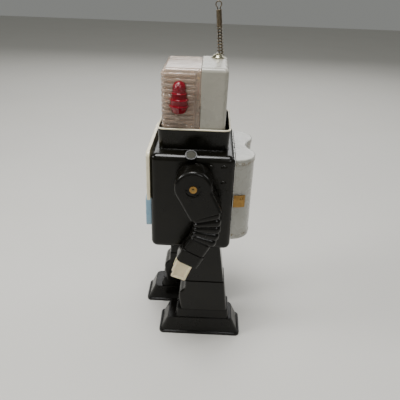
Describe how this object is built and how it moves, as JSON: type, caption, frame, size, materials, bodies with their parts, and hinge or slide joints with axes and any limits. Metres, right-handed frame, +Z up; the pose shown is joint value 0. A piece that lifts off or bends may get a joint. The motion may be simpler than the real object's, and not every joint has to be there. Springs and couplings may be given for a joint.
{
  "type": "walking tin robot",
  "caption": "Box-headed walking tin robot with a clear ribbed visor, chest screen, twin battery case, pivoted arms with bellows elbows and sliding legs.",
  "frame": {"origin": "on the floor, midway between the sides and midway between the toe of the forward foot and the back of the battery case", "axes": "+Z up, the robot faces -Y, its left hand is on +X"},
  "size_m": [0.136, 0.1084, 0.3287],
  "materials": {
    "black_tin": "gloss black enamel on pressed tin, rubbed brown-olive at folds",
    "cream_enamel": "gloss cream enamel on pressed tin",
    "grey_enamel": "satin warm grey enamel on pressed tin",
    "pale_enamel": "gloss pale grey enamel, chipped along the seams",
    "clear_plastic": "clear moulded plastic, a little warm with age",
    "red_lens": "translucent red moulded plastic",
    "blue_plastic": "light blue moulded plastic",
    "black_plastic": "gloss black moulded plastic",
    "cream_plastic": "aged cream moulded plastic",
    "brass": "brass, dulled",
    "spring_steel": "drawn spring wire, browned",
    "zinc_steel": "plated steel",
    "lamp_glass": "clear lamp glass",
    "cell_jacket": "plain printed cell jacket",
    "brown_board": "pressed brown fibre board",
    "roller_rubber": "black rubber",
    "printed_drum": "printed drum: night sky with stars",
    "eye_paint": "painted disc in sectors"
  },
  "bodies": {
    "torso": {"body_shell": "black_tin", "front_panel": "cream_enamel", "base_plate": "black_tin", "neck_collar": "black_tin", "head_shell": "grey_enamel", "visor": "clear_plastic", "ear_lamps": "red_lens", "face_plate": "grey_enamel", "screen_bezel": "blue_plastic", "screen_window": "clear_plastic", "gear_frame": "zinc_steel", "motor": "zinc_steel", "bulb_holder": "brass", "bulb": "lamp_glass", "antenna_base": "brass", "antenna_spring": "spring_steel", "battery_tray": "zinc_steel", "batteries": "cell_jacket", "contact_springs": "brass", "switch_block": "brown_board", "shoulder_bushes": "brass"},
    "switch": {"switch_knob": "black_plastic"},
    "left_catch": {"catch_left": "brass"},
    "right_catch": {"catch_right": "brass"},
    "battery_case": {"tank_shell": "pale_enamel", "tank_lid": "pale_enamel", "tank_base": "pale_enamel"},
    "crank": {"crank_shaft": "zinc_steel", "drive_gear": "brass"},
    "rotor": {"motor_shaft": "zinc_steel", "friction_roller": "roller_rubber"},
    "picture_drum": {"screen_drum": "printed_drum", "drum_gear": "cream_plastic"},
    "spindle": {"eye_spindle": "cream_plastic"},
    "eyes": {"eye_disc": "eye_paint"},
    "left_leg": {"hanger_left": "zinc_steel", "leg_left": "black_tin", "boot_left": "black_tin", "foot_left": "black_plastic", "sole_left": "zinc_steel"},
    "left_arm": {"upper_arm_left": "black_plastic", "elbow_left": "black_plastic", "forearm_left": "black_plastic", "hand_left": "cream_plastic", "arm_pivot_left": "brass"},
    "left_front_roller": {"roller_left_front": "roller_rubber"},
    "left_rear_roller": {"roller_left_rear": "roller_rubber"},
    "right_leg": {"hanger_right": "zinc_steel", "leg_right": "black_tin", "boot_right": "black_tin", "foot_right": "black_plastic", "sole_right": "zinc_steel"},
    "right_arm": {"upper_arm_right": "black_plastic", "elbow_right": "black_plastic", "forearm_right": "black_plastic", "hand_right": "cream_plastic", "arm_pivot_right": "brass"},
    "right_front_roller": {"roller_right_front": "roller_rubber"},
    "right_rear_roller": {"roller_right_rear": "roller_rubber"}
  },
  "joints": [
    {"name": "stride", "type": "slide", "parent": "torso", "child": "left_leg", "axis": [0, -1, 0], "range_m": [0, 0.02]},
    {"name": "right_stride", "type": "slide", "parent": "torso", "child": "right_leg", "axis": [0, -1, 0], "range_m": [-0.02, 0]},
    {"name": "left_arm_swing", "type": "hinge", "parent": "torso", "child": "left_arm", "pos_m": [0.057, -0.00025, 0.1875], "axis": [1, 0, 0], "range_deg": [0, 24]},
    {"name": "right_arm_swing", "type": "hinge", "parent": "torso", "child": "right_arm", "pos_m": [-0.057, -0.00025, 0.1875], "axis": [1, 0, 0], "range_deg": [-24, 0]},
    {"name": "crank_turn", "type": "hinge", "parent": "torso", "child": "crank", "pos_m": [0, -0.00225, 0.1335], "axis": [1, 0, 0], "continuous": true},
    {"name": "rotor_turn", "type": "hinge", "parent": "torso", "child": "rotor", "pos_m": [0, 0.00575, 0.15183], "axis": [1, 0, 0], "continuous": true},
    {"name": "drum_turn", "type": "hinge", "parent": "torso", "child": "picture_drum", "pos_m": [0, -0.02225, 0.1485], "axis": [1, 0, 0], "continuous": true},
    {"name": "spindle_turn", "type": "hinge", "parent": "torso", "child": "spindle", "pos_m": [0, 0.00575, 0.2], "axis": [0, 0, 1], "continuous": true},
    {"name": "eye_turn", "type": "hinge", "parent": "torso", "child": "eyes", "pos_m": [0, -0.00225, 0.252], "axis": [0, 1, 0], "continuous": true},
    {"name": "switch_turn", "type": "hinge", "parent": "torso", "child": "switch", "pos_m": [0.0415, -0.00355, 0.201], "axis": [0.5299, 0, 0.848], "range_deg": [0, 60]},
    {"name": "left_catch_flex", "type": "hinge", "parent": "torso", "child": "left_catch", "pos_m": [0.0418, 0.03615, 0.1648], "axis": [0, 0, -1], "range_deg": [0, 12], "stiffness_Nm_per_rad": 0.05},
    {"name": "right_catch_flex", "type": "hinge", "parent": "torso", "child": "right_catch", "pos_m": [-0.0418, 0.03615, 0.1648], "axis": [0, 0, 1], "range_deg": [0, 12], "stiffness_Nm_per_rad": 0.05},
    {"name": "case_slide", "type": "slide", "parent": "torso", "child": "battery_case", "axis": [0, 1, 0], "range_m": [0, 0.045]},
    {"name": "left_front_roll", "type": "hinge", "parent": "left_leg", "child": "left_front_roller", "pos_m": [0.024, -0.01425, 0.0054], "axis": [1, 0, 0], "continuous": true},
    {"name": "left_rear_roll", "type": "hinge", "parent": "left_leg", "child": "left_rear_roller", "pos_m": [0.024, 0.03275, 0.0054], "axis": [1, 0, 0], "continuous": true},
    {"name": "right_front_roll", "type": "hinge", "parent": "right_leg", "child": "right_front_roller", "pos_m": [-0.024, -0.03425, 0.0054], "axis": [1, 0, 0], "continuous": true},
    {"name": "right_rear_roll", "type": "hinge", "parent": "right_leg", "child": "right_rear_roller", "pos_m": [-0.024, 0.01275, 0.0054], "axis": [1, 0, 0], "continuous": true}
  ],
  "couplings": [
    {"joint": "right_stride", "follows": "stride", "ratio": -1},
    {"joint": "left_arm_swing", "follows": "stride", "rad_per_m": 20.944},
    {"joint": "right_arm_swing", "follows": "stride", "rad_per_m": -20.944},
    {"joint": "rotor_turn", "follows": "crank_turn", "ratio": -3},
    {"joint": "drum_turn", "follows": "crank_turn", "ratio": -1.5},
    {"joint": "spindle_turn", "follows": "crank_turn", "ratio": 4.8},
    {"joint": "eye_turn", "follows": "crank_turn", "ratio": -1.72}
  ]
}
